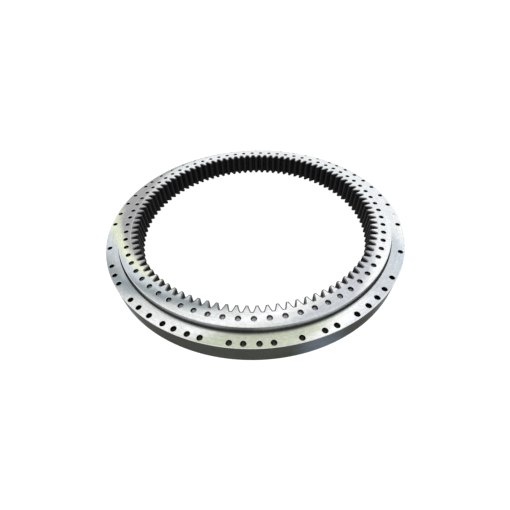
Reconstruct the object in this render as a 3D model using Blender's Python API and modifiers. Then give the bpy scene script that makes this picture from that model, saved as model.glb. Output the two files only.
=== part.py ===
"""Slewing ring bearing with an internal gear: a single-row four-point contact ball bearing.

The outer ring stands on z = 0. The inner ring, whose bore is the gear, stands proud of it at the top and
turns about +Z. Balls and spacers run in the ball path between the rings, behind two rubber seals.
Angles are in degrees, anticlockwise from +X seen from above. All sizes are in metres.
"""

import math

import bmesh
import bpy
from mathutils import Matrix

# Internal gear
MODULE = 0.012
TEETH = 96
PRESSURE_ANGLE = math.radians(20)
GEAR_START_DEG = 0.3  # middle of the first tooth
PITCH_RADIUS = MODULE * TEETH / 2
TIP_RADIUS = PITCH_RADIUS - MODULE
ROOT_RADIUS = PITCH_RADIUS + 1.25 * MODULE

# Heights
OUTER_HEIGHT = 0.092
INNER_BOTTOM = 0.005
INNER_TOP = 0.118
GEAR_TOP = INNER_TOP - 0.001  # the gear's end face is turned a little lower than the mounting face

# Radii of the rings' walls
OUTER_RADIUS = 0.717
OUTER_BORE = 0.6555
INNER_RADIUS = 0.6535
GEAR_FACE_RADIUS = 0.597
CHAMFER = 0.002

# Bolt holes: the inner ring's are evenly spaced, the outer ring's leave room for what is bolted to it
BOLT_HOLE_RADIUS = 0.011
INNER_BOLT_CIRCLE = 0.6195
INNER_BOLTS = 70
INNER_BOLT_START_DEG = 1.65
OUTER_BOLT_CIRCLE = 0.699
OUTER_BOLT_DEG = (
    *(3, 10, 17, 23, 29, 35, 40.5, 45),
    *range(52, 144, 7),
    *(149.5, 154, 162, 168.5, 176, 183, 197.5, 207.5, 212.5, 217),
    *(226, 230.5, 235.5, 241, 245, 249.5, 253.5, 262, 266, 270.5, 274.5),
    *(282.5, 289.5, 293.5, 301, 306, 310.5, 315, 321, 334.5, 350),
)

# Ball row
BALL_RADIUS = 0.016
BALL_CIRCLE = (OUTER_BORE + INNER_RADIUS) / 2
BALL_HEIGHT = 0.048
BALL_COUNT = 96
BALLS_PER_SET = 4
BALL_CLEARANCE = 0.0007  # between a ball and the flats of the ball path
SPACER_RADIUS = 0.012
SPACER_OVERLAP = 0.0065  # how deep a spacer's hollow end holds its ball

# Seals: each sits in a rebate of one ring, and its lip runs on the other
FIT_GAP = 0.0003
SEAL_WIDTH = 0.0055
SEAL_HEIGHT = 0.011
LIP_GAP = 0.001

# Filling plug and the taper pin that locks it
PLUG_DEG = -3.7
PLUG_RADIUS = 0.0162
PIN_TOP_RADIUS = 0.005
PIN_TAPER = 1 / 50
PIN_LENGTH = 0.070
PIN_DEPTH = 0.0005  # its head lies this far below the outer ring's top face

# Grease nipples, in counterbored pockets
NIPPLE_DEG = (90, 210, 330)
POCKET_RADIUS = 0.009
POCKET_DEPTH = 0.016
STEM_RADIUS = 0.004
STEM_LENGTH = 0.008
DUCT_RADIUS = 0.0025
NIPPLE_HEX_RADIUS = 0.0062
NIPPLE_HEX_HEIGHT = 0.005
NIPPLE_LENGTH = 0.0145
NIPPLE_HEAD_LENGTH = 0.005
NIPPLE_HEAD_RADIUS = 0.0033
NIPPLE_MOUTH_RADIUS = 0.0018
NIPPLE_MOUTH_LENGTH = 0.002  # the head narrows to its mouth over this length
NIPPLE_WAIST_RADIUS = 0.0024

RING_STEPS = 72
HOLE_SIDES = 8
PLUG_SIDES = 16
PIN_SIDES = 12
BEYOND = 0.005  # how far a cutter runs past the face that it cuts


def clear_scene():
    for old in list(bpy.data.objects):
        bpy.data.objects.remove(old, do_unlink=True)


def new_collection(name):
    made = bpy.data.collections.new(name)
    bpy.context.scene.collection.children.link(made)
    return made


def new_material(name, colour, metallic, roughness):
    made = bpy.data.materials.new(name)
    made.use_nodes = True
    shader = made.node_tree.nodes["Principled BSDF"]
    shader.inputs["Base Color"].default_value = (*colour, 1)
    shader.inputs["Metallic"].default_value = metallic
    shader.inputs["Roughness"].default_value = roughness
    return made


def new_object(name, mesh, collection, material=None):
    made = bpy.data.objects.new(name, mesh)
    collection.objects.link(made)
    if material:
        mesh.materials.clear()
        mesh.materials.append(material)
        mesh.shade_smooth()
        mesh.set_sharp_from_angle(angle=math.radians(35))
    else:
        made.hide_render = True
        made.display_type = "WIRE"
    return made


def mesh_from_bmesh(name, shape):
    mesh = bpy.data.meshes.new(name)
    shape.to_mesh(mesh)
    shape.free()
    return mesh


def turned_mesh(name, profile, steps, closed=True):
    """A profile of (radius, height) points, down its outer side first, turned about Z.

    An open profile starts and ends on the axis.
    """
    mesh = bpy.data.meshes.new(name)
    points = [(radius, 0, height) for radius, height in profile]
    edges = [(i, i + 1) for i in range(len(points) - 1)]
    if closed:
        edges.append((len(points) - 1, 0))
    mesh.from_pydata(points, edges, [])
    scratch = bpy.data.objects.new(name + "_profile", mesh)
    bpy.context.scene.collection.objects.link(scratch)
    screw = scratch.modifiers.new("turn", "SCREW")
    screw.axis = "Z"
    screw.steps = screw.render_steps = steps
    screw.use_merge_vertices = not closed
    screw.merge_threshold = 0.00001
    graph = bpy.context.evaluated_depsgraph_get()
    turned = bpy.data.meshes.new_from_object(scratch.evaluated_get(graph))
    bpy.data.objects.remove(scratch)
    turned.name = name
    return turned


def prism_mesh(name, outline, bottom, top):
    """A flat outline of (x, y) points, filled and extruded from bottom to top."""
    curve = bpy.data.curves.new(name, "CURVE")
    curve.dimensions = "2D"
    curve.fill_mode = "BOTH"
    curve.extrude = (top - bottom) / 2
    spline = curve.splines.new("POLY")
    spline.points.add(len(outline) - 1)
    for point, (x, y) in zip(spline.points, outline):
        point.co = (x, y, 0, 1)
    spline.use_cyclic_u = True
    scratch = bpy.data.objects.new(name + "_outline", curve)
    bpy.context.scene.collection.objects.link(scratch)
    graph = bpy.context.evaluated_depsgraph_get()
    mesh = bpy.data.meshes.new_from_object(scratch.evaluated_get(graph))
    bpy.data.objects.remove(scratch)
    shape = bmesh.new()
    shape.from_mesh(mesh)
    bmesh.ops.remove_doubles(shape, verts=shape.verts, dist=0.00001)
    bmesh.ops.recalc_face_normals(shape, faces=shape.faces)
    bmesh.ops.translate(shape, verts=shape.verts, vec=(0, 0, (top + bottom) / 2))
    shape.to_mesh(mesh)
    shape.free()
    return mesh


def boolean(target, operation, other, solver="EXACT"):
    made = target.modifiers.new(other.name, "BOOLEAN")
    made.operation = operation
    made.solver = solver
    made.object = other


def at_angle(degrees, radius=0.0, height=0.0):
    """The place at this angle and radius, with its local X pointing outwards."""
    return Matrix.Rotation(math.radians(degrees), 4, "Z") @ Matrix.Translation((radius, 0, height))


def pointing_out(degrees, radius, height):
    """As at_angle, but with the local Z axis pointing outwards."""
    return at_angle(degrees, radius, height) @ Matrix.Rotation(math.pi / 2, 4, "Y")


def upright_holes(name, radius, bottom, top, circle, angles):
    """One cutter for all the upright holes on a bolt circle."""
    shape = bmesh.new()
    for degrees in angles:
        bmesh.ops.create_cone(
            shape,
            cap_ends=True,
            segments=HOLE_SIDES,
            radius1=radius,
            radius2=radius,
            depth=top - bottom,
            matrix=at_angle(degrees, circle, (top + bottom) / 2),
        )
    return new_object(name, mesh_from_bmesh(name, shape), cutters)


# ---------------------------------------------------------------- gear


def involute(angle):
    return math.tan(angle) - angle


def space_half_angle(radius):
    """Half the angle that a gap between two teeth takes at this radius."""
    base_radius = PITCH_RADIUS * math.cos(PRESSURE_ANGLE)
    here = math.acos(base_radius / radius)
    return math.pi / (2 * TEETH) + involute(PRESSURE_ANGLE) - involute(here)


def gear_outline():
    """The bore's outline: each gap between teeth goes out to the root circle and back."""
    flank = (TIP_RADIUS, PITCH_RADIUS, ROOT_RADIUS)
    points = []
    for gap in range(TEETH):
        middle = math.radians(GEAR_START_DEG) + (gap + 0.5) * math.tau / TEETH
        for side, radii in ((-1, flank), (1, reversed(flank))):
            for radius in radii:
                angle = middle + side * space_half_angle(radius)
                points.append((radius * math.cos(angle), radius * math.sin(angle)))
    return points


# ---------------------------------------------------------------- cutters shared by the pieces


def make_ball_path():
    """A ring of octagonal section: the balls touch each ring's raceway on two 45 degree flats."""
    flat = BALL_RADIUS + BALL_CLEARANCE
    corner = flat / math.cos(math.pi / 8)
    profile = []
    for side in range(8):
        angle = math.pi / 8 - side * math.pi / 4
        radius = BALL_CIRCLE + corner * math.cos(angle)
        profile.append((radius, BALL_HEIGHT + corner * math.sin(angle)))
    return new_object("ball_path", turned_mesh("ball_path", profile, RING_STEPS), cutters)


def make_plug_bore():
    shape = bmesh.new()
    start = BALL_CIRCLE
    end = OUTER_RADIUS + BEYOND
    bmesh.ops.create_cone(
        shape,
        cap_ends=True,
        segments=PLUG_SIDES,
        radius1=PLUG_RADIUS + FIT_GAP,
        radius2=PLUG_RADIUS + FIT_GAP,
        depth=end - start,
        matrix=pointing_out(PLUG_DEG, (start + end) / 2, BALL_HEIGHT),
    )
    return new_object("plug_bore", mesh_from_bmesh("plug_bore", shape), cutters)


def pin_shape(extra_radius, extra_top, extra_bottom):
    """The taper pin's cone, or the larger one that reams its hole."""
    top = OUTER_HEIGHT - PIN_DEPTH
    bottom = top - PIN_LENGTH
    shape = bmesh.new()
    bmesh.ops.create_cone(
        shape,
        cap_ends=True,
        segments=PIN_SIDES,
        radius1=PIN_TOP_RADIUS + extra_radius - (PIN_LENGTH + extra_bottom) * PIN_TAPER / 2,
        radius2=PIN_TOP_RADIUS + extra_radius + extra_top * PIN_TAPER / 2,
        depth=PIN_LENGTH + extra_top + extra_bottom,
        matrix=at_angle(PLUG_DEG, OUTER_BOLT_CIRCLE, (top + bottom + extra_top - extra_bottom) / 2),
    )
    return shape


def make_pin_hole():
    shape = pin_shape(FIT_GAP, BEYOND, FIT_GAP)
    return new_object("pin_hole", mesh_from_bmesh("pin_hole", shape), cutters)


def make_nipple_bores():
    """Pocket, stem hole and grease duct, drilled from the side through to the raceway."""
    pocket_floor = OUTER_RADIUS - POCKET_DEPTH
    steps = (
        (POCKET_RADIUS, pocket_floor),
        (STEM_RADIUS + FIT_GAP, pocket_floor - STEM_LENGTH - FIT_GAP),
        (DUCT_RADIUS, BALL_CIRCLE + BALL_RADIUS / 2),
    )
    level = OUTER_RADIUS + BEYOND
    profile = [(0, level)]
    for radius, end in steps:
        profile += [(radius, level), (radius, end)]
        level = end
    profile.append((0, level))
    drill = turned_mesh("stepped_drill", profile, HOLE_SIDES, closed=False)
    bores = []
    for number, degrees in enumerate(NIPPLE_DEG, 1):
        bore = new_object(f"nipple_bore_{number}", drill, cutters)
        bore.matrix_world = pointing_out(degrees, 0, BALL_HEIGHT)
        bores.append(bore)
    return bores


# ---------------------------------------------------------------- pieces


def make_outer_ring():
    seat = OUTER_BORE + SEAL_WIDTH
    profile = [
        (OUTER_RADIUS - CHAMFER, OUTER_HEIGHT),
        (OUTER_RADIUS, OUTER_HEIGHT - CHAMFER),
        (OUTER_RADIUS, CHAMFER),
        (OUTER_RADIUS - CHAMFER, 0),
        (OUTER_BORE, 0),
        (OUTER_BORE, OUTER_HEIGHT - SEAL_HEIGHT),
        (seat, OUTER_HEIGHT - SEAL_HEIGHT),
        (seat, OUTER_HEIGHT),
    ]
    ring = new_object("outer_ring", turned_mesh("outer_ring", profile, RING_STEPS), parts, steel)
    holes = upright_holes(
        "outer_bolt_holes",
        BOLT_HOLE_RADIUS,
        -BEYOND,
        OUTER_HEIGHT + BEYOND,
        OUTER_BOLT_CIRCLE,
        OUTER_BOLT_DEG,
    )
    for cutter in (ball_path, holes, plug_bore, pin_hole, *nipple_bores):
        boolean(ring, "DIFFERENCE", cutter, solver="MANIFOLD")


def make_inner_ring():
    seat = INNER_RADIUS - SEAL_WIDTH
    profile = [
        (INNER_RADIUS - CHAMFER, INNER_TOP),
        (INNER_RADIUS, INNER_TOP - CHAMFER),
        (INNER_RADIUS, INNER_BOTTOM + SEAL_HEIGHT),
        (seat, INNER_BOTTOM + SEAL_HEIGHT),
        (seat, INNER_BOTTOM),
        (TIP_RADIUS - BEYOND, INNER_BOTTOM),
        (TIP_RADIUS - BEYOND, GEAR_TOP),
        (GEAR_FACE_RADIUS, GEAR_TOP),
        (GEAR_FACE_RADIUS, INNER_TOP),
    ]
    ring = new_object("inner_ring", turned_mesh("inner_ring", profile, RING_STEPS), parts, steel)
    bore = prism_mesh("gear_bore", gear_outline(), INNER_BOTTOM - BEYOND, INNER_TOP + BEYOND)
    holes = upright_holes(
        "inner_bolt_holes",
        BOLT_HOLE_RADIUS,
        INNER_BOTTOM - BEYOND,
        INNER_TOP + BEYOND,
        INNER_BOLT_CIRCLE,
        [INNER_BOLT_START_DEG + hole * 360 / INNER_BOLTS for hole in range(INNER_BOLTS)],
    )
    for cutter in (ball_path, new_object("gear_bore", bore, cutters), holes):
        boolean(ring, "DIFFERENCE", cutter)
    return ring


def make_upper_seal():
    """It sits in the outer ring's rebate, and its lip slopes up to the inner ring's wall."""
    outside = OUTER_BORE + SEAL_WIDTH - FIT_GAP
    floor = OUTER_HEIGHT - SEAL_HEIGHT + FIT_GAP
    top = OUTER_HEIGHT - FIT_GAP
    lip = INNER_RADIUS + LIP_GAP
    profile = [
        (outside, top),
        (outside, floor),
        (OUTER_BORE, floor),
        (lip, top),
    ]
    new_object("upper_seal", turned_mesh("upper_seal", profile, RING_STEPS), parts, rubber)


def make_lower_seal():
    """It sits in the inner ring's rebate, and its lip slopes down to the outer ring's bore."""
    inside = INNER_RADIUS - SEAL_WIDTH + FIT_GAP
    bottom = INNER_BOTTOM + FIT_GAP
    top = INNER_BOTTOM + SEAL_HEIGHT - FIT_GAP
    lip = OUTER_BORE - LIP_GAP
    profile = [
        (inside, top),
        (INNER_RADIUS, top),
        (lip, bottom),
        (inside, bottom),
    ]
    return new_object("lower_seal", turned_mesh("lower_seal", profile, RING_STEPS), parts, rubber)


def make_filling_plug():
    """Its inner end carries the raceway on, and the taper pin passes down through it."""
    start = OUTER_BORE + FIT_GAP
    end = OUTER_RADIUS * math.cos(math.pi / RING_STEPS) - FIT_GAP
    shape = bmesh.new()
    bmesh.ops.create_cone(
        shape,
        cap_ends=True,
        segments=PLUG_SIDES,
        radius1=PLUG_RADIUS,
        radius2=PLUG_RADIUS,
        depth=end - start,
        matrix=pointing_out(PLUG_DEG, (start + end) / 2, BALL_HEIGHT),
    )
    plug = new_object("filling_plug", mesh_from_bmesh("filling_plug", shape), parts, steel)
    boolean(plug, "DIFFERENCE", ball_path)
    boolean(plug, "DIFFERENCE", pin_hole)


def make_taper_pin():
    mesh = mesh_from_bmesh("taper_pin", pin_shape(0, 0, 0))
    new_object("taper_pin", mesh, parts, hard_steel)


def make_grease_nipples():
    """Screwed stem, hexagon and the round head that the grease gun grips. Local Z points outwards."""
    profile = [
        (0, NIPPLE_LENGTH),
        (NIPPLE_MOUTH_RADIUS, NIPPLE_LENGTH),
        (NIPPLE_HEAD_RADIUS, NIPPLE_LENGTH - NIPPLE_MOUTH_LENGTH),
        (NIPPLE_WAIST_RADIUS, NIPPLE_LENGTH - NIPPLE_HEAD_LENGTH),
        (STEM_RADIUS, NIPPLE_HEX_HEIGHT),
        (STEM_RADIUS, -STEM_LENGTH),
        (0, -STEM_LENGTH),
    ]
    shape = bmesh.new()
    bmesh.ops.create_cone(
        shape,
        cap_ends=True,
        segments=6,
        radius1=NIPPLE_HEX_RADIUS,
        radius2=NIPPLE_HEX_RADIUS,
        depth=NIPPLE_HEX_HEIGHT - FIT_GAP,
        matrix=Matrix.Translation((0, 0, (NIPPLE_HEX_HEIGHT + FIT_GAP) / 2)),
    )
    hexagon = new_object("nipple_hexagon", mesh_from_bmesh("nipple_hexagon", shape), cutters)
    body_mesh = turned_mesh("nipple_body", profile, PIN_SIDES, closed=False)
    body = new_object("nipple_body", body_mesh, cutters)
    boolean(body, "UNION", hexagon)
    graph = bpy.context.evaluated_depsgraph_get()
    mesh = bpy.data.meshes.new_from_object(body.evaluated_get(graph))
    for number, degrees in enumerate(NIPPLE_DEG, 1):
        nipple = new_object(f"grease_nipple_{number}", mesh, parts, plated_steel)
        nipple.matrix_world = pointing_out(degrees, OUTER_RADIUS - POCKET_DEPTH, BALL_HEIGHT)


def make_ball_sets(axis):
    """Sets of balls, each with the spacer that follows it, as a round bar along the ball circle.

    The bar swells to a ball's radius at each ball. It narrows to a blunt nose before the first, and ends
    flat just short of the next set's first ball.
    """
    step = math.tau / BALL_COUNT
    nose = BALL_RADIUS * math.sin(math.radians(45))
    joint = BALL_RADIUS - SPACER_OVERLAP
    stations = [(-BALL_RADIUS, BALL_RADIUS / 5), (-nose, nose), (0, BALL_RADIUS), (joint, SPACER_RADIUS)]
    for number in range(1, BALLS_PER_SET):
        middle = number * step * BALL_CIRCLE
        stations.append((middle - joint, SPACER_RADIUS))
        stations.append((middle, BALL_RADIUS))
        stations.append((middle + joint, SPACER_RADIUS))
    next_ball = BALLS_PER_SET * step * BALL_CIRCLE
    stations.append((next_ball - BALL_RADIUS - 2 * FIT_GAP, SPACER_RADIUS))

    bar = bpy.data.curves.new("ball_set", "CURVE")
    bar.dimensions = "3D"
    bar.twist_mode = "Z_UP"
    bar.bevel_depth = 1
    bar.bevel_resolution = 2
    bar.use_fill_caps = True
    bar.materials.append(hard_steel)
    spline = bar.splines.new("POLY")
    spline.points.add(len(stations) - 1)
    for point, (along, radius) in zip(spline.points, stations):
        angle = along / BALL_CIRCLE
        point.co = (BALL_CIRCLE * math.cos(angle), BALL_CIRCLE * math.sin(angle), BALL_HEIGHT, 1)
        point.radius = radius
    for number in range(BALL_COUNT // BALLS_PER_SET):
        ball_set = bpy.data.objects.new(f"ball_set_{number + 1:02d}", bar)
        parts.objects.link(ball_set)
        ball_set.rotation_euler.z = number * BALLS_PER_SET * step
        ball_set.parent = axis


def new_axis(name, pieces=()):
    """An empty on the bearing's axis, for what turns with it."""
    axis = bpy.data.objects.new(name, None)
    parts.objects.link(axis)
    for piece in pieces:
        piece.parent = axis
    return axis


clear_scene()
parts = new_collection("slewing_ring_bearing")
cutters = new_collection("cutters")

steel = new_material("turned_steel", (0.62, 0.63, 0.64), 1.0, 0.35)
hard_steel = new_material("ground_steel", (0.7, 0.7, 0.72), 1.0, 0.15)
plated_steel = new_material("zinc_plated", (0.6, 0.55, 0.4), 1.0, 0.4)
rubber = new_material("black_rubber", (0.02, 0.02, 0.02), 0.0, 0.6)

ball_path = make_ball_path()
plug_bore = make_plug_bore()
pin_hole = make_pin_hole()
nipple_bores = make_nipple_bores()

make_outer_ring()
make_upper_seal()
make_filling_plug()
make_taper_pin()
make_grease_nipples()
new_axis("inner_ring_axis", (make_inner_ring(), make_lower_seal()))
make_ball_sets(new_axis("ball_row_axis"))
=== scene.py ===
"""Looks of the slewing ring bearing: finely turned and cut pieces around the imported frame, in metres.

Places round the ring are in degrees, anticlockwise from +X seen from above.
"""

import math

import bmesh
import bpy
import numpy as np
from mathutils import Matrix, Vector


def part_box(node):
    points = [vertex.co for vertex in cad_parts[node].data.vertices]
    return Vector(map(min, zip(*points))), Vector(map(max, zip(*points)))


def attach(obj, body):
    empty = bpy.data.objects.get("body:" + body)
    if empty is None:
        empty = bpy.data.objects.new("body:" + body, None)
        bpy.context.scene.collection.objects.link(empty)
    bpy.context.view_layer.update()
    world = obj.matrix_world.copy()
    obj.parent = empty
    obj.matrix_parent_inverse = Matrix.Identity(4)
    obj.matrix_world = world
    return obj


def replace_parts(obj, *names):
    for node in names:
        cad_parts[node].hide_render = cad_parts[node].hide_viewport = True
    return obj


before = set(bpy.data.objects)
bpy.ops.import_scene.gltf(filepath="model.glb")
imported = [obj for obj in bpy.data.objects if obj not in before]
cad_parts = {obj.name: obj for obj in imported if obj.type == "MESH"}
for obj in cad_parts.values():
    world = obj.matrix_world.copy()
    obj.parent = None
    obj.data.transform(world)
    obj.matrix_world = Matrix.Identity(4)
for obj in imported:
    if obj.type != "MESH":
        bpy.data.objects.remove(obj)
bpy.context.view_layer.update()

# ---------------------------------------------------------------- sizes, from the frame

OUTER_LOW, OUTER_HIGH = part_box("outer_ring")
INNER_LOW, INNER_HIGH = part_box("inner_ring")
UPPER_SEAL_LOW, UPPER_SEAL_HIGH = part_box("upper_seal")
LOWER_SEAL_LOW, LOWER_SEAL_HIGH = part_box("lower_seal")
BALL_LOW, BALL_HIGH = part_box("ball_set_01")

OUTER_RADIUS = OUTER_HIGH.x
OUTER_TOP = OUTER_HIGH.z
INNER_RADIUS = INNER_HIGH.x
INNER_TOP = INNER_HIGH.z
INNER_BOTTOM = INNER_LOW.z

FIT_GAP = 0.0003
SEAL_SEAT = UPPER_SEAL_HIGH.x + FIT_GAP
SEAL_FLOOR = UPPER_SEAL_LOW.z - FIT_GAP
LOWER_SEAL_CEILING = LOWER_SEAL_HIGH.z + FIT_GAP
RING_CLEARANCE = 0.002
OUTER_BORE = INNER_RADIUS + RING_CLEARANCE
LOWER_SEAL_SEAT = INNER_RADIUS - (SEAL_SEAT - OUTER_BORE)

BALL_RADIUS = (BALL_HIGH.z - BALL_LOW.z) / 2
BALL_HEIGHT = (BALL_HIGH.z + BALL_LOW.z) / 2
BALL_CIRCLE = (OUTER_BORE + INNER_RADIUS) / 2
BALL_COUNT = 96
RACEWAY_END = BALL_CIRCLE + 0.02
RACEWAY_CLEARANCE = 0.0003
SPACER_RADIUS = 0.012
SPACER_MOUTH_RADIUS = 0.011  # where the ball's hollow meets the spacer's rim
SPACER_RIM = 0.0008

MODULE = 0.012
TEETH = 96
PRESSURE_ANGLE = math.radians(20)
GEAR_START_DEG = 0.3
PITCH_RADIUS = MODULE * TEETH / 2
BASE_RADIUS = PITCH_RADIUS * math.cos(PRESSURE_ANGLE)
TIP_RADIUS = PITCH_RADIUS - MODULE
ROOT_RADIUS = PITCH_RADIUS + 1.25 * MODULE
GEAR_FACE_RADIUS = 0.597
GEAR_FACE_STEP = 0.001
TOOTH_CHAMFER = 0.0048  # across the end face
TOOTH_CHAMFER_DEPTH = 0.0024
TIP_ROUNDING = 0.06 * MODULE
ROOT_ROUNDING = 0.125 * MODULE
FLANK_STEPS = 7

BOLT_HOLE_RADIUS = 0.011
HOLE_CHAMFER = 0.0012
INNER_BOLT_CIRCLE = 0.6195
INNER_BOLTS = 70
INNER_BOLT_START_DEG = 1.65
OUTER_BOLT_CIRCLE = 0.699

# Unevenly spaced. The photo doesn't show the ones from 52 to 143 degrees, which are a guess
OUTER_BOLT_DEG = (
    *(3, 10, 17, 23, 29, 35, 40.5, 45),
    *range(52, 144, 7),
    *(149.5, 154, 162, 168.5, 176, 183, 197.5, 207.5, 212.5, 217),
    *(226, 230.5, 235.5, 241, 245, 249.5, 253.5, 262, 266, 270.5, 274.5),
    *(282.5, 289.5, 293.5, 301, 306, 310.5, 315, 321, 334.5, 350),
)
RIM_CHAMFER = 0.002
FINE_CHAMFER = 0.0006

POCKET_RADIUS = 0.009
POCKET_DEPTH = 0.016
STEM_RADIUS = 0.004
STEM_LENGTH = 0.008
DUCT_RADIUS = 0.0025
THREAD_PITCH = 0.001
THREAD_DEPTH = 0.0006
HEXAGON_RADIUS = 0.0062
HEXAGON_HEIGHT = 0.005
NIPPLE_LENGTH = 0.0145
NIPPLE_HEAD_LENGTH = 0.0048
NIPPLE_HEAD_ROUNDING = 0.0019
NIPPLE_MOUTH_RADIUS = 0.0018
NIPPLE_WAIST_RADIUS = 0.0022

PLUG_CHAMFER = 0.001
PIN_TAPER = 1 / 50

RING_STEPS = 720
HOLE_STEPS = 32
SPACER_STEPS = 24
BEYOND = 0.004  # how far a cutter runs past the face that it cuts

# The least share of a face's normal along a direction, to count as facing that way or as sloping to it
FACING = 0.95
SLOPING = 0.3


def angle_of(node):
    """The angle at which the node's middle lies."""
    low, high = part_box(node)
    middle = (low + high) / 2
    return math.degrees(math.atan2(middle.y, middle.x))


PLUG_DEG = angle_of("filling_plug")
PLUG_LOW, PLUG_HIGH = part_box("filling_plug")
PLUG_RADIUS = (PLUG_HIGH.z - PLUG_LOW.z) / 2
PIN_LOW, PIN_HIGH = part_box("taper_pin")
PIN_RADIUS = (PIN_HIGH.x - PIN_LOW.x) / 2
NIPPLE_NODES = sorted(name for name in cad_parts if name.startswith("grease_nipple"))


# ---------------------------------------------------------------- mesh helpers


def mesh_object(name, mesh):
    made = bpy.data.objects.new(name, mesh)
    bpy.context.scene.collection.objects.link(made)
    return made


def bmesh_object(name, shape):
    mesh = bpy.data.meshes.new(name)
    shape.to_mesh(mesh)
    shape.free()
    return mesh_object(name, mesh)


def baked(made):
    """The object, with its mesh replaced by what its modifiers make of it."""
    graph = bpy.context.evaluated_depsgraph_get()
    mesh = bpy.data.meshes.new_from_object(made.evaluated_get(graph))
    made.modifiers.clear()
    made.data = mesh
    return made


def turned(name, profile, steps, closed=True):
    """A profile of (radius, height) points, down its outer side first, turned about Z.

    An open profile starts and ends on the axis.
    """
    mesh = bpy.data.meshes.new(name)
    edges = [(i, i + 1) for i in range(len(profile) - 1)]
    if closed:
        edges.append((len(profile) - 1, 0))
    mesh.from_pydata([(radius, 0, height) for radius, height in profile], edges, [])
    made = mesh_object(name, mesh)
    screw = made.modifiers.new("turn", "SCREW")
    screw.axis = "Z"
    screw.steps = screw.render_steps = steps
    screw.use_merge_vertices = not closed
    screw.merge_threshold = 0.000001
    return baked(made)


def subtract(made, *cutters):
    """Cuts each closed mesh from the object, and removes it."""
    for cutter in cutters:
        modifier = made.modifiers.new(cutter.name, "BOOLEAN")
        modifier.operation = "DIFFERENCE"
        modifier.solver = "MANIFOLD"
        modifier.object = cutter
    baked(made)
    for cutter in cutters:
        bpy.data.objects.remove(cutter)
    return made


def smooth(made, sharp_deg=20):
    """Shaded smooth, except across edges sharper than this."""
    made.data.shade_smooth()
    made.data.set_sharp_from_angle(angle=math.radians(sharp_deg))
    return made


def at_angle(degrees, radius=0.0, height=0.0):
    """The place at this angle and radius, with its local X axis pointing away from the bearing's axis."""
    return Matrix.Rotation(math.radians(degrees), 4, "Z") @ Matrix.Translation((radius, 0, height))


def pointing_out(degrees, radius, height):
    """As at_angle, with the local Z axis pointing away from the bearing's axis."""
    return at_angle(degrees, radius, height) @ Matrix.Rotation(math.pi / 2, 4, "Y")


def copies(name, made, places):
    """One object of a copy of the mesh at each place. The original is removed."""
    shape = bmesh.new()
    for place in places:
        mesh = made.data.copy()
        mesh.transform(place)
        shape.from_mesh(mesh)
        bpy.data.meshes.remove(mesh)
    bpy.data.objects.remove(made)
    return bmesh_object(name, shape)


def arc(middle, radius, start_deg, end_deg, steps):
    """Points (x, y) along a circle, both ends included."""
    points = []
    for step in range(steps + 1):
        angle = math.radians(start_deg + (end_deg - start_deg) * step / steps)
        points.append((middle[0] + radius * math.cos(angle), middle[1] + radius * math.sin(angle)))
    return points


def give_finishes(made, materials, choose):
    """Each face takes the material that choose(centre, normal) names."""
    names = list(materials)
    made.data.materials.clear()
    for name in names:
        made.data.materials.append(materials[name])
    for face in made.data.polygons:
        face.material_index = names.index(choose(face.center, face.normal))


# ---------------------------------------------------------------- cutters


def bolt_holes(name, circle, angles, bottom, top):
    """Through holes, chamfered at both faces."""
    flare = BOLT_HOLE_RADIUS + HOLE_CHAMFER + BEYOND
    profile = [
        (0, top + BEYOND),
        (flare, top + BEYOND),
        (BOLT_HOLE_RADIUS, top - HOLE_CHAMFER),
        (BOLT_HOLE_RADIUS, bottom + HOLE_CHAMFER),
        (flare, bottom - BEYOND),
        (0, bottom - BEYOND),
    ]
    hole = turned(name + "_one", profile, HOLE_STEPS, closed=False)
    return copies(name, hole, [at_angle(degrees, circle) for degrees in angles])


def involute(angle):
    return math.tan(angle) - angle


def space_half_angle(radius, grow=0.0):
    """Half the angle that a gap between two teeth takes at this radius, with its flanks moved by grow."""
    here = math.acos(BASE_RADIUS / radius)
    half = math.pi / (2 * TEETH) + involute(PRESSURE_ANGLE) - involute(here)
    return half + grow / BASE_RADIUS


def gear_outline(grow=0.0):
    """The bore's outline as (x, y): involute flanks with rounded ends, moved into the metal by grow."""
    tip, root = TIP_RADIUS + grow, ROOT_RADIUS + grow
    flank = [(tip, space_half_angle(tip, grow) + TIP_ROUNDING / tip)]
    for radius in np.linspace(tip + TIP_ROUNDING, root - ROOT_ROUNDING, FLANK_STEPS):
        flank.append((radius, space_half_angle(radius, grow)))
    flank.append((root, space_half_angle(root, grow) - ROOT_ROUNDING / root))
    points = []
    for gap in range(TEETH):
        middle = math.radians(GEAR_START_DEG) + (gap + 0.5) * math.tau / TEETH
        for side, stations in ((-1, flank), (1, flank[::-1])):
            for radius, half in stations:
                angle = middle + side * half
                points.append((radius * math.cos(angle), radius * math.sin(angle)))
    return points


def gear_bore():
    """What is cut away to leave the teeth, flared at both ends to chamfer them."""
    outline = gear_outline()
    top = INNER_TOP - GEAR_FACE_STEP
    flared = gear_outline(TOOTH_CHAMFER)
    sections = (
        (INNER_BOTTOM - BEYOND, flared),
        (INNER_BOTTOM, flared),
        (INNER_BOTTOM + TOOTH_CHAMFER_DEPTH, outline),
        (top - TOOTH_CHAMFER_DEPTH, outline),
        (top, flared),
        (INNER_TOP + BEYOND, flared),
    )
    shape = bmesh.new()
    loops = []
    for height, points in sections:
        loops.append([shape.verts.new((x, y, height)) for x, y in points])
    for lower, upper in zip(loops, loops[1:]):
        for i in range(len(lower)):
            j = (i + 1) % len(lower)
            shape.faces.new((lower[i], lower[j], upper[j], upper[i]))
    shape.faces.new(loops[0][::-1])
    shape.faces.new(loops[-1])
    return bmesh_object("gear_bore", shape)


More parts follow.
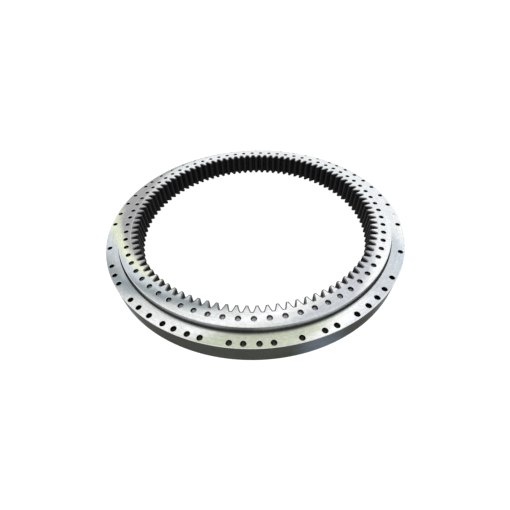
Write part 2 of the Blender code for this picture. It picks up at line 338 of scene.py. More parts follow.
def nipple_bores():
    """Counterbored pocket, stem hole and duct for each grease nipple."""
    pocket_floor = OUTER_RADIUS - POCKET_DEPTH
    stem_end = pocket_floor - STEM_LENGTH - FIT_GAP
    flare = POCKET_RADIUS + HOLE_CHAMFER
    profile = [
        (0, OUTER_RADIUS + BEYOND),
        (flare + BEYOND, OUTER_RADIUS + BEYOND),
        (POCKET_RADIUS, OUTER_RADIUS - HOLE_CHAMFER),
        (POCKET_RADIUS, pocket_floor),
        (STEM_RADIUS + FIT_GAP, pocket_floor),
        (STEM_RADIUS + FIT_GAP, stem_end),
        (DUCT_RADIUS, stem_end),
        (DUCT_RADIUS, BALL_CIRCLE + BALL_RADIUS / 2),
        (0, BALL_CIRCLE + BALL_RADIUS / 2),
    ]
    drill = turned("nipple_drill", profile, HOLE_STEPS, closed=False)
    places = [pointing_out(angle_of(node), 0, BALL_HEIGHT) for node in NIPPLE_NODES]
    return copies("nipple_bores", drill, places)


def plug_bore():
    flare = PLUG_RADIUS + FIT_GAP + FINE_CHAMFER + BEYOND
    profile = [
        (0, OUTER_RADIUS + BEYOND),
        (flare, OUTER_RADIUS + BEYOND),
        (PLUG_RADIUS + FIT_GAP, OUTER_RADIUS - FINE_CHAMFER),
        (PLUG_RADIUS + FIT_GAP, BALL_CIRCLE),
        (0, BALL_CIRCLE),
    ]
    bore = turned("plug_bore", profile, 2 * HOLE_STEPS, closed=False)
    return copies("plug_bores", bore, [pointing_out(PLUG_DEG, 0, BALL_HEIGHT)])


def pin_hole():
    wide = PIN_RADIUS + FIT_GAP
    profile = [(0, OUTER_TOP + BEYOND), (wide, OUTER_TOP + BEYOND), (wide, PIN_LOW.z), (0, PIN_LOW.z)]
    hole = turned("pin_drill", profile, HOLE_STEPS, closed=False)
    return copies("pin_hole", hole, [at_angle(PLUG_DEG, OUTER_BOLT_CIRCLE)])


# ---------------------------------------------------------------- pieces


def groove(side):
    """The raceway's arc in the outer (+1) or inner (-1) ring, from top to bottom."""
    raceway = BALL_RADIUS + RACEWAY_CLEARANCE
    lip = math.degrees(math.acos(RING_CLEARANCE / 2 / raceway))
    points = arc((BALL_CIRCLE, BALL_HEIGHT), raceway, lip, -lip, 20)
    if side > 0:
        return points
    return [(2 * BALL_CIRCLE - radius, height) for radius, height in points]


def make_outer_ring():
    radius, top, fine = OUTER_RADIUS, OUTER_TOP, FINE_CHAMFER
    profile = [
        (SEAL_SEAT + fine, top),
        (radius - RIM_CHAMFER, top),
        (radius, top - RIM_CHAMFER),
        (radius, RIM_CHAMFER),
        (radius - RIM_CHAMFER, 0),
        (OUTER_BORE + fine, 0),
        (OUTER_BORE, fine),
        *reversed(groove(1)),
        (OUTER_BORE, SEAL_FLOOR),
        (SEAL_SEAT, SEAL_FLOOR),
        (SEAL_SEAT, top - fine),
    ]
    ring = turned("outer_ring_turned", profile, RING_STEPS)
    holes = bolt_holes("outer_holes", OUTER_BOLT_CIRCLE, OUTER_BOLT_DEG, 0, top)
    subtract(ring, holes, plug_bore(), pin_hole(), nipple_bores())

    def finish(centre, normal):
        out = math.hypot(centre.x, centre.y)
        faces_out = (centre.x * normal.x + centre.y * normal.y) / out > FACING
        if abs(normal.z) > FACING and (centre.z > top - fine or centre.z < fine):
            return "face"
        if out > radius - RIM_CHAMFER and faces_out:
            return "side"
        if out < SEAL_SEAT or abs(centre.z - BALL_HEIGHT) < BALL_RADIUS and out < RACEWAY_END:
            return "dark"
        if SLOPING < abs(normal.z) < FACING:
            return "edge"
        return "hole"

    give_finishes(ring, OUTER_FINISHES, finish)
    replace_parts(smooth(ring), "outer_ring")
    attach(ring, "outer_ring")


def make_inner_ring():
    radius, top, bottom, fine = INNER_RADIUS, INNER_TOP, INNER_BOTTOM, FINE_CHAMFER
    gear_top = top - GEAR_FACE_STEP
    profile = [
        (GEAR_FACE_RADIUS + GEAR_FACE_STEP, top),
        (radius - RIM_CHAMFER, top),
        (radius, top - RIM_CHAMFER),
        *groove(-1),
        (radius, LOWER_SEAL_CEILING),
        (LOWER_SEAL_SEAT, LOWER_SEAL_CEILING),
        (LOWER_SEAL_SEAT, bottom + fine),
        (LOWER_SEAL_SEAT - fine, bottom),
        (TIP_RADIUS - BEYOND, bottom),
        (TIP_RADIUS - BEYOND, gear_top),
        (GEAR_FACE_RADIUS, gear_top),
    ]
    ring = turned("inner_ring_gear", profile, RING_STEPS)
    angles = [INNER_BOLT_START_DEG + hole * 360 / INNER_BOLTS for hole in range(INNER_BOLTS)]
    subtract(ring, gear_bore(), bolt_holes("inner_holes", INNER_BOLT_CIRCLE, angles, bottom, top))

    def finish(centre, normal):
        out = math.hypot(centre.x, centre.y)
        if abs(normal.z) > FACING:
            return "face"
        if out < ROOT_RADIUS + TOOTH_CHAMFER:
            return "tooth_edge" if abs(normal.z) > SLOPING else "tooth"
        if out > radius - RIM_CHAMFER and centre.z > OUTER_TOP - BEYOND:
            return "edge" if normal.z > SLOPING else "side"
        on_raceway = abs(centre.z - BALL_HEIGHT) <= BALL_RADIUS
        if abs(normal.z) > SLOPING and out > GEAR_FACE_RADIUS and not on_raceway:
            return "edge"
        return "hole"

    give_finishes(ring, INNER_FINISHES, finish)
    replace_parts(smooth(ring), "inner_ring")
    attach(ring, "inner_ring")


def seal_profile(wall, bore, lip, root, edge, side):
    """A seal's section, with a bead in the rebate's wall, a groove behind the lip and a rounded lip.

    It goes from its root to its edge in height. The side is +1 where the wall lies outside the lip and the
    edge above the root, and -1 where both are the other way round.
    """
    depth = abs(edge - root)
    return (
        (wall, root),
        (bore, root),
        (bore, root + side * 0.25 * depth),
        (lip + side * 0.0012, edge - side * 0.35 * depth),
        (lip, edge - side * 0.0022),
        (lip + side * 0.0002, edge - side * 0.0012),
        (lip + side * 0.0012, edge - side * 0.0008),
        (lip + side * 0.0026, edge - side * 0.0026),
        (wall - side * 0.003, edge - side * 0.0026),
        (wall - side * 0.0016, edge),
        (wall - side * 0.0004, edge - side * 0.0004),
        (wall, edge - side * 0.0016),
    )


def make_seals():
    """The upper seal runs on the inner ring's wall, and the lower one on the outer ring's bore."""
    upper = seal_profile(
        wall=SEAL_SEAT - FIT_GAP,
        bore=OUTER_BORE + FIT_GAP,
        lip=INNER_RADIUS + FIT_GAP,
        root=SEAL_FLOOR + FIT_GAP,
        edge=OUTER_TOP - FIT_GAP,
        side=1,
    )
    lower = seal_profile(
        wall=LOWER_SEAL_SEAT + FIT_GAP,
        bore=INNER_RADIUS - FIT_GAP,
        lip=OUTER_BORE - FIT_GAP,
        root=LOWER_SEAL_CEILING - FIT_GAP,
        edge=INNER_BOTTOM + FIT_GAP,
        side=-1,
    )
    for node, profile, body in (
        ("upper_seal", upper, "outer_ring"),
        ("lower_seal", lower, "inner_ring"),
    ):
        seal = smooth(turned(node + "_lip", profile, RING_STEPS), 60)
        seal.data.materials.append(RUBBER)
        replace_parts(seal, node)
        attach(seal, body)


def make_filling_plug():
    """Chamfered at its outer end, with the raceway carried on at its inner end."""
    end = OUTER_RADIUS - 2 * FIT_GAP
    profile = [
        (0, end),
        (PLUG_RADIUS - PLUG_CHAMFER, end),
        (PLUG_RADIUS, end - PLUG_CHAMFER),
        (PLUG_RADIUS, OUTER_BORE),
        (0, OUTER_BORE),
    ]
    plug = turned("filling_plug_turned", profile, 2 * HOLE_STEPS, closed=False)
    plug.data.transform(pointing_out(PLUG_DEG, 0, BALL_HEIGHT))
    radius = BALL_RADIUS + RACEWAY_CLEARANCE
    path = turned("ball_path", arc((BALL_CIRCLE, BALL_HEIGHT), radius, 180, -160, 17), RING_STEPS)
    subtract(plug, path, pin_hole())
    plug.data.materials.clear()
    plug.data.materials.append(PLUG_STEEL)
    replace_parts(smooth(plug), "filling_plug")
    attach(plug, "outer_ring")


def make_taper_pin():
    """Ground taper pin with domed ends."""
    top, bottom = PIN_HIGH.z, PIN_LOW.z
    small = PIN_RADIUS - (top - bottom) * PIN_TAPER / 2
    profile = [
        (0, top),
        (0.6 * PIN_RADIUS, top - 0.0003),
        (PIN_RADIUS - 0.0003, top - 0.0009),
        (PIN_RADIUS, top - 0.0016),
        (small, bottom + 0.0016),
        (small - 0.0004, bottom + 0.0008),
        (0.6 * small, bottom + 0.0002),
        (0, bottom),
    ]
    pin = smooth(turned("taper_pin_ground", profile, HOLE_STEPS, closed=False), 50)
    pin.data.transform(at_angle(PLUG_DEG, OUTER_BOLT_CIRCLE))
    pin.data.materials.append(GROUND_STEEL)
    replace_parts(pin, "taper_pin")
    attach(pin, "outer_ring")


def make_grease_nipples():
    """Threaded stem, hexagon, waist and the round head with its filling hole."""
    top = NIPPLE_LENGTH
    thread = []
    for turn in range(int(STEM_LENGTH / THREAD_PITCH)):
        thread.append((STEM_RADIUS - THREAD_DEPTH, -(turn + 0.1) * THREAD_PITCH))
        thread.append((STEM_RADIUS, -(turn + 0.5) * THREAD_PITCH))
    profile = [
        (0, top - 0.0012),
        (0.0008, top - 0.0004),
        (0.0012, top),
        (NIPPLE_MOUTH_RADIUS, top),
        *arc((NIPPLE_MOUTH_RADIUS, top - 0.0022), NIPPLE_HEAD_ROUNDING, 70, -20, 5),
        (NIPPLE_WAIST_RADIUS, top - NIPPLE_HEAD_LENGTH),
        (NIPPLE_WAIST_RADIUS, HEXAGON_HEIGHT + 0.0018),
        (STEM_RADIUS, HEXAGON_HEIGHT),
        *thread,
        (0, -STEM_LENGTH),
    ]
    body = turned("nipple_body", profile, HOLE_STEPS, closed=False)
    shape = bmesh.new()
    bmesh.ops.create_cone(
        shape,
        cap_ends=True,
        segments=6,
        radius1=HEXAGON_RADIUS,
        radius2=HEXAGON_RADIUS,
        depth=HEXAGON_HEIGHT - FIT_GAP,
        matrix=Matrix.Translation((0, 0, (HEXAGON_HEIGHT + FIT_GAP) / 2)),
    )
    bmesh.ops.bevel(shape, geom=shape.edges, offset=0.0004, segments=2, affect="EDGES")
    nut = bmesh_object("nipple_hexagon", shape)
    union = body.modifiers.new("hexagon", "BOOLEAN")
    union.operation = "UNION"
    union.solver = "MANIFOLD"
    union.object = nut
    baked(body)
    bpy.data.objects.remove(nut)
    smooth(body, 40)
    for node in NIPPLE_NODES:
        nipple = mesh_object(node + "_plated", body.data.copy())
        nipple.data.transform(pointing_out(angle_of(node), OUTER_RADIUS - POCKET_DEPTH, BALL_HEIGHT))
        nipple.data.materials.clear()
        nipple.data.materials.append(PLATED_STEEL)
        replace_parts(nipple, node)
        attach(nipple, "outer_ring")
    bpy.data.objects.remove(body)


def make_ball_row():
    """Ground balls, and plastic spacers with a hollow at each end for the balls beside them."""
    step = 360 / BALL_COUNT
    ball = bmesh.new()
    bmesh.ops.create_uvsphere(ball, u_segments=24, v_segments=12, radius=BALL_RADIUS)
    places = [at_angle(number * step, BALL_CIRCLE, BALL_HEIGHT) for number in range(BALL_COUNT)]
    balls = copies("ball_row_balls", bmesh_object("ball", ball), places)
    balls.data.shade_smooth()
    balls.data.materials.append(GROUND_STEEL)

    spacing = 2 * BALL_CIRCLE * math.sin(math.radians(step / 2))
    hollow = BALL_RADIUS + FIT_GAP
    mouth = math.acos(SPACER_MOUTH_RADIUS / hollow)
    half = spacing / 2 - hollow * math.sin(mouth)
    cup = arc((0, spacing / 2), hollow, -90, -math.degrees(mouth), 6)
    upper = [*cup, (SPACER_RADIUS, half - SPACER_RIM)]
    profile = upper + [(radius, -height) for radius, height in reversed(upper)]
    spacer = turned("spacer", profile, SPACER_STEPS, closed=False)
    middle = BALL_CIRCLE * math.cos(math.radians(step / 2))
    along = Matrix.Rotation(math.pi / 2, 4, "X")
    places = [at_angle((n + 0.5) * step, middle, BALL_HEIGHT) @ along for n in range(BALL_COUNT)]
    spacers = smooth(copies("ball_row_spacers", spacer, places))
    spacers.data.materials.append(NYLON)

    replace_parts(balls, *(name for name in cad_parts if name.startswith("ball_set")))
    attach(balls, "ball_row")
    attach(spacers, "ball_row")


# ---------------------------------------------------------------- materials


class Shader:
    """A material's nodes, with short calls for the ones used here."""

    def __init__(self, name, colour, metallic, roughness):
        self.material = bpy.data.materials.new(name)
        self.material.use_nodes = True
        self.nodes = self.material.node_tree.nodes
        self.links = self.material.node_tree.links
        self.out = self.nodes["Principled BSDF"]
        self.out.inputs["Base Color"].default_value = (*colour, 1)
        self.out.inputs["Metallic"].default_value = metallic
        self.out.inputs["Roughness"].default_value = roughness

    def node(self, kind, settings=None, **inputs):
        made = self.nodes.new(kind)
        for key, value in (settings or {}).items():
            setattr(made, key, value)
        for key, value in inputs.items():
            self.put(made.inputs[key.replace("_", " ")], value)
        return made

    def put(self, socket, value):
        if isinstance(value, bpy.types.NodeSocket):
            self.links.new(value, socket)
        else:
            socket.default_value = value

    def math(self, operation, first, second=0.0):
        made = self.nodes.new("ShaderNodeMath")
        made.operation = operation
        self.put(made.inputs[0], first)
        self.put(made.inputs[1], second)
        return made.outputs[0]

    def mix(self, share, first, second, blend="MIX"):
        made = self.nodes.new("ShaderNodeMix")
        made.data_type = "RGBA"
        made.blend_type = blend
        self.put(made.inputs[0], share)
        self.put(made.inputs[6], first if isinstance(first, bpy.types.NodeSocket) else (*first, 1))
        self.put(made.inputs[7], second if isinstance(second, bpy.types.NodeSocket) else (*second, 1))
        return made.outputs[2]

    def ramp(self, value, low, high, bottom=0.0, top=1.0):
        made = self.node("ShaderNodeMapRange", {"clamp": True}, From_Min=low, From_Max=high)
        self.put(made.inputs["Value"], value)
        made.inputs["To Min"].default_value = bottom
        made.inputs["To Max"].default_value = top
        return made.outputs[0]

    def place(self):
        """(position, x, y, z, distance from the bearing's axis)"""
        position = self.node("ShaderNodeTexCoord").outputs["Object"]
        split = self.node("ShaderNodeSeparateXYZ", Vector=position)
        x, y, z = split.outputs
        square = self.math("ADD", self.math("MULTIPLY", x, x), self.math("MULTIPLY", y, y))
        return position, x, y, z, self.math("SQRT", square)

    def noise(self, vector, scale, detail=2.0, roughness=0.5):
        made = self.node("ShaderNodeTexNoise", Scale=scale, Detail=detail, Roughness=roughness)
        self.put(made.inputs["Vector"], vector)
        return made.outputs["Fac"]

    def painted_sheen(self, x, y, out, wobble, tints, lean):
        """A painted sheen of reflections: a tint for each angle in degrees round the axis, leaning over by
        so many degrees a metre.
        """
        turn = self.math("DIVIDE", self.math("ARCTAN2", y, x), math.tau)
        shift = self.math("MULTIPLY", self.math("SUBTRACT", out, BALL_CIRCLE), lean / 360)
        waver = self.math("MULTIPLY", self.math("SUBTRACT", wobble, 0.5), SHEEN_WAVER / 360)
        turn = self.math("FRACT", self.math("ADD", self.math("ADD", turn, shift), waver))
        ramp = self.node("ShaderNodeValToRGB", Fac=turn)
        ramp.color_ramp.interpolation = "EASE"
        stops = ramp.color_ramp.elements
        while len(stops) < len(tints):
            stops.new(1.0)
        for stop, (degrees, tint) in zip(stops, tints):
            stop.position = degrees / 360
            stop.color = (*tint, 1)
        return ramp.outputs["Color"]

    def around(self, x, y, z, out, sweep, pitch):
        """A vector that varies slowly round the axis, and fast across the lines left by turning."""
        lines = self.math("MULTIPLY", self.math("ADD", out, z), 1 / pitch)
        return self.node(
            "ShaderNodeCombineXYZ",
            X=self.math("MULTIPLY", self.math("DIVIDE", x, out), sweep),
            Y=self.math("MULTIPLY", self.math("DIVIDE", y, out), sweep),
            Z=lines,
        ).outputs[0]


def turned_steel(
    name,
    tints,
    roughness,
    stain,
    lines=0.5,
    anisotropy=0.6,
    bump=0.25,
    film=0.5,
    lean=0.0,
    edge=1.0,
    seal_shade_reach=0.0,
):
    """Machined steel: turning lines, cloudy preservative oil and a few small stains.

    The tints are one colour, or pairs of an angle and a colour for a painted sheen that changes round the
    ring:
    painted reflections and highlights. The edge value dulls what is seen at a glancing angle. The last value
    is how far a painted shade reaches from the upper seal at the front, darkening the metal towards the
    seal.
    """
    shader = Shader(name, STEEL, 1.0, roughness)
    position, x, y, z, out = shader.place()
    fine = shader.noise(shader.around(x, y, z, out, 2.0, 0.0011), 1.0, 3.0, 0.65)
    coarse = shader.noise(shader.around(x, y, z, out, 3.0, 0.0045), 1.0, 3.0, 0.6)
    mottle = shader.noise(shader.around(x, y, z, out, 55.0, 0.007), 1.0, 4.0, 0.65)
    cloud = shader.noise(position, 7.0, 5.0, 0.6)
    spots = shader.noise(position, 55.0, 3.0, 0.7)

    one_colour = not isinstance(tints[0], tuple)
    colour = tints if one_colour else shader.painted_sheen(x, y, out, cloud, tints, lean)
    shade = shader.ramp(coarse, 0.3, 0.7, 1 - 0.22 * lines, 1 + 0.1 * lines)
    shade = shader.math("MULTIPLY", shade, shader.ramp(fine, 0.3, 0.7, 1 - 0.3 * lines, 1 + 0.08 * lines))
    shade = shader.math("MULTIPLY", shade, shader.ramp(mottle, 0.3, 0.7, 1 - 0.36 * film, 1 + 0.14 * film))
    # Painted shade: darker towards the upper seal, on the front of the ring only
    if seal_shade_reach:
        across = shader.math("SUBTRACT", out, SEAL_SEAT)
        above = shader.math("SUBTRACT", z, OUTER_TOP)
        seal_shaded = shader.ramp(shader.math("MAXIMUM", across, above), SEAL_SHADE_START, seal_shade_reach, SEAL_SHADE_SHARE, 0.0)
        front = shader.ramp(shader.math("DIVIDE", y, out), *SEAL_SHADE_FRONT, 1.0, 0.0)
        colour = shader.mix(shader.math("MULTIPLY", seal_shaded, front), colour, SEAL_SHADE)
    clouded = shader.mix(shader.ramp(cloud, 0.45, 0.75, 0.0, 0.5 * film), colour, stain)
    spotted = shader.mix(shader.ramp(spots, 0.66, 0.78, 0.0, 0.35 * film), clouded, stain)
    tint = shader.node("ShaderNodeCombineColor", Red=shade, Green=shade, Blue=shade).outputs[0]
    shader.put(shader.out.inputs["Base Color"], shader.mix(1.0, spotted, tint, "MULTIPLY"))

    rough = shader.math("ADD", shader.ramp(fine, 0.2, 0.8, -0.06, 0.08), roughness)
    rough = shader.math("ADD", rough, shader.ramp(cloud, 0.4, 0.7, 0.0, 0.1))
    shader.put(shader.out.inputs["Roughness"], rough)
    shader.out.inputs["Anisotropic"].default_value = anisotropy
    shader.out.inputs["Anisotropic Rotation"].default_value = 0.25
    shader.out.inputs["Specular Tint"].default_value = (edge, edge, edge, 1)
    tangent = shader.node("ShaderNodeTangent", {"direction_type": "RADIAL", "axis": "Z"})
    shader.put(shader.out.inputs["Tangent"], tangent.outputs[0])
    raised = shader.node("ShaderNodeBump", Strength=bump, Distance=0.0001, Height=fine)
    shader.put(shader.out.inputs["Normal"], raised.outputs[0])
    return shader.material


def drilled_steel(name, bottom, top, mouth, deep):
    """A drilled bore: painted shade darkening both mouths, brighter metal between them, and the drill's fine
    rings.
    """
    shader = Shader(name, deep, 1.0, 0.3)
    position, x, y, z, out = shader.place()
    half = (top - bottom) / 2
    from_middle = shader.math("ABSOLUTE", shader.math("SUBTRACT", z, bottom + half))
    uneven = shader.math("SUBTRACT", shader.noise(position, 30.0), 0.5)
    waver = shader.math("MULTIPLY", uneven, MOUTH_WAVER)
    # Painted shade, darkest near both mouths of the bore
    mouth_shaded = shader.ramp(shader.math("ADD", from_middle, waver), half - MOUTH_SHADE_END, half - MOUTH_FULL_SHADE)
    shader.put(shader.out.inputs["Base Color"], shader.mix(mouth_shaded, deep, mouth))
    rings = shader.noise(shader.around(x, y, z, out, 4.0, 0.0008), 1.0, 2.0)
    shader.put(shader.out.inputs["Roughness"], shader.ramp(rings, 0.3, 0.7, 0.26, 0.4))
    raised = shader.node("ShaderNodeBump", Strength=0.2, Distance=0.0001, Height=rings)
    shader.put(shader.out.inputs["Normal"], raised.outputs[0])
    return shader.material


def plain_metal(name, colour, roughness, stain, scale=90.0):
    """Ground or plated metal, with a fine grain and cloudy wear."""
    shader = Shader(name, colour, 1.0, roughness)
    position = shader.place()[0]
    grain = shader.noise(position, 30 * scale, 2.0)
    cloud = shader.noise(position, scale, 4.0, 0.6)
    worn = shader.ramp(cloud, 0.4, 0.7, 0.0, 0.8)
    shader.put(shader.out.inputs["Base Color"], shader.mix(worn, colour, stain))
    rough = shader.math("ADD", shader.ramp(grain, 0.3, 0.7, -0.03, 0.05), roughness)
    shader.put(shader.out.inputs["Roughness"], rough)
    raised = shader.node("ShaderNodeBump", Strength=0.1, Distance=0.00005, Height=grain)
    shader.put(shader.out.inputs["Normal"], raised.outputs[0])
    return shader.material


def hardened_steel(name):
    """Induction-hardened tooth flanks: near-black scale, a little worn along the upright cutter marks."""
    dark, worn = (0.005, 0.005, 0.006), (0.022, 0.021, 0.021)
    shader = Shader(name, dark, 0.0, 0.6)
    shader.out.inputs["Specular IOR Level"].default_value = 0.1
    position, x, y, z, out = shader.place()
    stretched = shader.node("ShaderNodeMapping", Vector=position)
    stretched.inputs["Scale"].default_value = (1, 1, 0.06)
    streaks = shader.noise(stretched.outputs[0], 420.0, 4.0, 0.6)
    cloud = shader.noise(position, 35.0, 4.0, 0.6)
    wear = shader.math("MULTIPLY", shader.ramp(streaks, 0.45, 0.75), shader.ramp(cloud, 0.35, 0.7, 0.2, 1.0))
    shader.put(shader.out.inputs["Base Color"], shader.mix(wear, dark, worn))
    shader.put(shader.out.inputs["Roughness"], shader.ramp(streaks, 0.2, 0.8, 0.55, 0.75))
    raised = shader.node("ShaderNodeBump", Strength=0.3, Distance=0.0002, Height=streaks)
    shader.put(shader.out.inputs["Normal"], raised.outputs[0])
    return shader.material


def moulded(name, colour, roughness, dust, scale):
    """Rubber or plastic, with a fine moulded grain and a little dust or oil."""
    shader = Shader(name, colour, 0.0, roughness)
    position = shader.place()[0]
    grain = shader.noise(position, scale, 3.0)
    cloud = shader.noise(position, 14.0, 4.0, 0.6)
    dusty = shader.ramp(cloud, 0.45, 0.75, 0.0, 0.6)
    shader.put(shader.out.inputs["Base Color"], shader.mix(dusty, colour, dust))
    rough = shader.ramp(grain, 0.3, 0.7, roughness - 0.08, roughness + 0.08)
    shader.put(shader.out.inputs["Roughness"], rough)
    raised = shader.node("ShaderNodeBump", Strength=0.2, Distance=0.0002, Height=grain)
    shader.put(shader.out.inputs["Normal"], raised.outputs[0])
    return shader.material


STEEL = (0.6, 0.61, 0.62)
# Tints for the painted reflections on the ground faces; PALE is also the chamfers' own colour
SHEEN_WHITE = (0.94, 0.95, 0.96)
PALE = (0.78, 0.8, 0.79)
MIST = (0.62, 0.67, 0.72)
HAZE = (0.64, 0.67, 0.71)
LILAC = (0.55, 0.57, 0.61)
STRAW = (0.84, 0.88, 0.67)
OLIVE = (0.56, 0.6, 0.47)
GREY = (0.39, 0.39, 0.395)
BLUE_GREY = (0.31, 0.355, 0.375)
OIL = (0.63, 0.64, 0.55)
# Bore colours: the inner bores near-white and the outer ones dark grey, each with painted shade darkening
# both mouths
MOUTH_FULL_SHADE = 0.01  # how deep from each mouth a hole is fully in painted shade, and from where it is free of it
MOUTH_SHADE_END = 0.021
MOUTH_WAVER = 0.012
DRILLED = (0.93, 0.93, 0.95)
DRILLED_MOUTH_SHADE = (0.05, 0.05, 0.055)
DARK_DRILLED = (0.13, 0.13, 0.07)
DARK_DRILLED_MOUTH_SHADE = (0.02, 0.02, 0.016)
RACEWAY = (0.25, 0.25, 0.25)
TOOTH_BEVEL = (0.2, 0.2, 0.205)
PLUG = (0.1, 0.1, 0.09)
# Painted shade beside the upper seal at the front: the face darkens towards the seal, the wall towards its
# foot
SEAL_SHADE = (0.05, 0.05, 0.035)
SEAL_SHADE_SHARE = 0.7
SEAL_SHADE_FRONT = (-0.92, -0.7)  # y over radius, where the painted shade is full and where it ends
SEAL_SHADE_START = 0.002
# Outer side: dark all round, a painted reflection of the dim room, with bluish streaks of painted highlight
SIDE = (0.09, 0.094, 0.081)
SIDE_BLUE = (0.2, 0.24, 0.28)
SIDE_OIL = (0.034, 0.036, 0.028)
# Inner ring's wall: bands of painted reflection, darker ones and a bluish-white painted highlight
WALL = (0.54, 0.57, 0.58)
WALL_DARK = (0.26, 0.27, 0.28)
WALL_BLUE = (0.88, 0.93, 0.96)

# The painted sheen on each face, as (degrees, tint) stops: painted reflections and highlights of the room,
# lighter and darker sweeps round the ring
SHEEN_WAVER = 14.0
OUTER_LEAN = 220.0  # degrees a metre, outward
INNER_LEAN = 417.0
SHARED_PAINTED_SHEEN = (
    *((105, SHEEN_WHITE), (127, PALE), (152, GREY), (178, GREY)),
    *((193, STRAW), (208, MIST), (222, BLUE_GREY), (240, PALE), (254, SHEEN_WHITE)),
)
OUTER_PAINTED_SHEEN = (
    *((0, SHEEN_WHITE), *SHARED_PAINTED_SHEEN, (267, OLIVE)),
    *((288, OLIVE), (303, SHEEN_WHITE), (320, HAZE), (341, MIST), (356, SHEEN_WHITE), (360, SHEEN_WHITE)),
)
INNER_PAINTED_SHEEN = (
    *((0, SHEEN_WHITE), *SHARED_PAINTED_SHEEN, (268, PALE)),
    *((281, LILAC), (296, LILAC), (312, SHEEN_WHITE), (360, SHEEN_WHITE)),
)
WALL_PAINTED_SHEEN = (
    *((0, WALL), (205, WALL_DARK), (216, WALL_DARK), (230, WALL), (254, WALL), (266, WALL_DARK)),
    *((276, WALL), (286, WALL_BLUE), (293, WALL_BLUE), (303, WALL), (314, WALL_DARK), (325, WALL)),
    (360, WALL),
)
SIDE_PAINTED_SHEEN = (
    *((0, SIDE), (215, SIDE), (225, SIDE_BLUE), (233, SIDE), (278, SIDE)),
    *((288, SIDE_BLUE), (299, SIDE), (306, SIDE), (316, SIDE_BLUE), (330, SIDE), (360, SIDE)),
)

OUTER_FACE_STEEL = turned_steel("outer_ground_face", OUTER_PAINTED_SHEEN, 0.3, OIL, lean=OUTER_LEAN, seal_shade_reach=0.008)
INNER_FACE_STEEL = turned_steel("inner_ground_face", INNER_PAINTED_SHEEN, 0.3, OIL, lean=INNER_LEAN)
SIDE_STEEL = turned_steel("turned_side", SIDE_PAINTED_SHEEN, 0.34, SIDE_OIL, lines=1.0, bump=0.4, edge=0.45)
WALL_STEEL = turned_steel("turned_wall", WALL_PAINTED_SHEEN, 0.42, OIL, lines=0.8, edge=0.6, seal_shade_reach=0.013)
EDGE_STEEL = turned_steel("chamfer", PALE, 0.36, OIL, anisotropy=0.0)
DARK_STEEL = turned_steel("raceway", RACEWAY, 0.25, SIDE_OIL)
TOOTH_EDGE = turned_steel("tooth_chamfer", TOOTH_BEVEL, 0.45, SIDE_OIL, anisotropy=0.0, edge=0.2)
PLUG_STEEL = turned_steel("plug_end", PLUG, 0.4, SIDE_OIL, anisotropy=0.0, edge=0.5)
HOLE_STEEL = drilled_steel("drilled_inner", INNER_BOTTOM, INNER_TOP, DRILLED_MOUTH_SHADE, DRILLED)
DARK_HOLE_STEEL = drilled_steel("drilled_outer", OUTER_LOW.z, OUTER_TOP, DARK_DRILLED_MOUTH_SHADE, DARK_DRILLED)
TOOTH_STEEL = hardened_steel("hardened_tooth")
GROUND_STEEL = plain_metal("ground_steel", (0.72, 0.72, 0.74), 0.14, stain=(0.6, 0.6, 0.58))
PLATED_STEEL = plain_metal("zinc_plate", (0.62, 0.56, 0.36), 0.36, stain=(0.45, 0.43, 0.34), scale=160.0)
RUBBER = moulded("seal_rubber", (0.012, 0.012, 0.013), 0.5, dust=(0.03, 0.03, 0.028), scale=900.0)
NYLON = moulded("spacer_nylon", (0.7, 0.66, 0.54), 0.42, dust=(0.6, 0.55, 0.42), scale=700.0)

OUTER_FINISHES = {
    "face": OUTER_FACE_STEEL,
    "side": SIDE_STEEL,
    "edge": EDGE_STEEL,
    "hole": DARK_HOLE_STEEL,
    "dark": DARK_STEEL,
}
INNER_FINISHES = {
    "face": INNER_FACE_STEEL,
    "side": WALL_STEEL,
    "edge": EDGE_STEEL,
    "hole": HOLE_STEEL,
    "tooth": TOOTH_STEEL,
    "tooth_edge": TOOTH_EDGE,
}

# ---------------------------------------------------------------- camera, floor and light

CAMERA_SENSOR = 36.0
CAMERA_DISTANCE = 1.407
CAMERA_ELEVATION = math.radians(37.01)
CAMERA_ROLL = math.radians(-3.1)
CAMERA_AIM = Vector((-0.0193, -0.298, INNER_TOP))
CAMERA_LENS = 19.44
CAMERA_SHIFT = (0.0102, -0.0049)
FLOOR_GLOW = 0.92
SKY_STRENGTH = 1.2
SKY_WHITE = (1, 1, 1, 1)
SKY_GREY = (0.81, 0.83, 0.85, 1)
SKY_PATCH_SCALE = 1.6
SKY_PATCH_RANGE = (0.42, 0.62)
SKY_PATCH_FROM = math.sin(math.radians(12))
SKY_PATCH_FULL = math.sin(math.radians(22))
FLOOR_SIZE = 30
FLOOR_DROP = 0.0002
FLOOR_PAINT = (0.2, 0.2, 0.2)


def make_camera():
    """It looks across the ring from -Y, slightly rolled, from near and with a wide lens."""
    camera = bpy.data.cameras.new("camera")
    camera.sensor_width = CAMERA_SENSOR
    camera.lens = CAMERA_LENS
    camera.shift_x, camera.shift_y = CAMERA_SHIFT
    camera.clip_start = 0.01
    seat = bpy.data.objects.new("camera", camera)
    bpy.context.scene.collection.objects.link(seat)
    back = -CAMERA_DISTANCE * math.cos(CAMERA_ELEVATION)
    up = CAMERA_DISTANCE * math.sin(CAMERA_ELEVATION) + INNER_TOP
    seat.location = (0, back, up)
    look = (CAMERA_AIM - seat.location).to_track_quat("-Z", "Y").to_matrix().to_4x4()
    turn = Matrix.Rotation(CAMERA_ROLL, 4, "Z")
    seat.matrix_world = Matrix.Translation(seat.location) @ look @ turn
    bpy.context.scene.camera = seat


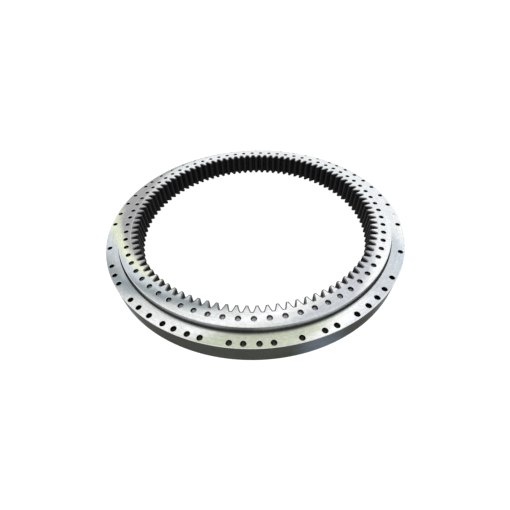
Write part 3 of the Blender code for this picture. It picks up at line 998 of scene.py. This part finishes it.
def make_floor():
    shape = bmesh.new()
    bmesh.ops.create_grid(shape, x_segments=1, y_segments=1, size=FLOOR_SIZE)
    floor = bmesh_object("floor", shape)
    floor.location.z = OUTER_LOW.z - FLOOR_DROP
    shader = Shader("floor_paint", FLOOR_PAINT, 0.0, 0.9)
    shader.out.inputs["Emission Color"].default_value = (1, 1, 1, 1)
    shader.out.inputs["Emission Strength"].default_value = FLOOR_GLOW
    floor.data.materials.append(shader.material)


def add_light(name, size, power, azimuth, elevation, distance):
    """A soft rectangular light that faces the bearing's middle. Its two angles are in degrees."""
    light = bpy.data.lights.new(name, "AREA")
    light.shape = "RECTANGLE"
    light.size, light.size_y = size
    light.energy = power
    made = bpy.data.objects.new(name, light)
    bpy.context.scene.collection.objects.link(made)
    a, e = math.radians(azimuth), math.radians(elevation)
    away = Vector((math.cos(e) * math.cos(a), math.cos(e) * math.sin(a), math.sin(e)))
    made.location = away * distance
    made.rotation_euler = away.to_track_quat("Z", "Y").to_euler()


def make_world():
    """White all round, with broad soft grey patches above for the steel to reflect."""
    world = bpy.data.worlds.new("studio")
    bpy.context.scene.world = world
    world.use_nodes = True
    nodes, links = world.node_tree.nodes, world.node_tree.links
    direction = nodes.new("ShaderNodeTexCoord").outputs["Generated"]
    noise = nodes.new("ShaderNodeTexNoise")
    noise.inputs["Scale"].default_value = SKY_PATCH_SCALE
    noise.inputs["Detail"].default_value = 1.0
    links.new(direction, noise.inputs["Vector"])
    patch = nodes.new("ShaderNodeMapRange")
    patch.inputs["From Min"].default_value, patch.inputs["From Max"].default_value = SKY_PATCH_RANGE
    links.new(noise.outputs["Fac"], patch.inputs["Value"])
    split = nodes.new("ShaderNodeSeparateXYZ")
    links.new(direction, split.inputs[0])
    above = nodes.new("ShaderNodeMapRange")
    above.inputs["From Min"].default_value = SKY_PATCH_FROM
    above.inputs["From Max"].default_value = SKY_PATCH_FULL
    links.new(split.outputs["Z"], above.inputs["Value"])
    share = nodes.new("ShaderNodeMath")
    share.operation = "MULTIPLY"
    links.new(patch.outputs[0], share.inputs[0])
    links.new(above.outputs[0], share.inputs[1])
    colour = nodes.new("ShaderNodeMix")
    colour.data_type = "RGBA"
    links.new(share.outputs[0], colour.inputs[0])
    colour.inputs[6].default_value = SKY_WHITE
    colour.inputs[7].default_value = SKY_GREY
    links.new(colour.outputs[2], nodes["Background"].inputs["Color"])
    nodes["Background"].inputs["Strength"].default_value = SKY_STRENGTH


# ---------------------------------------------------------------- build

make_camera()
make_world()
make_floor()
add_light("key", size=(2.5, 1.2), power=3, azimuth=60, elevation=55, distance=4.0)

make_outer_ring()
make_inner_ring()
make_seals()
make_filling_plug()
make_taper_pin()
make_grease_nipples()
make_ball_row()

bpy.context.scene.view_settings.view_transform = "Standard"
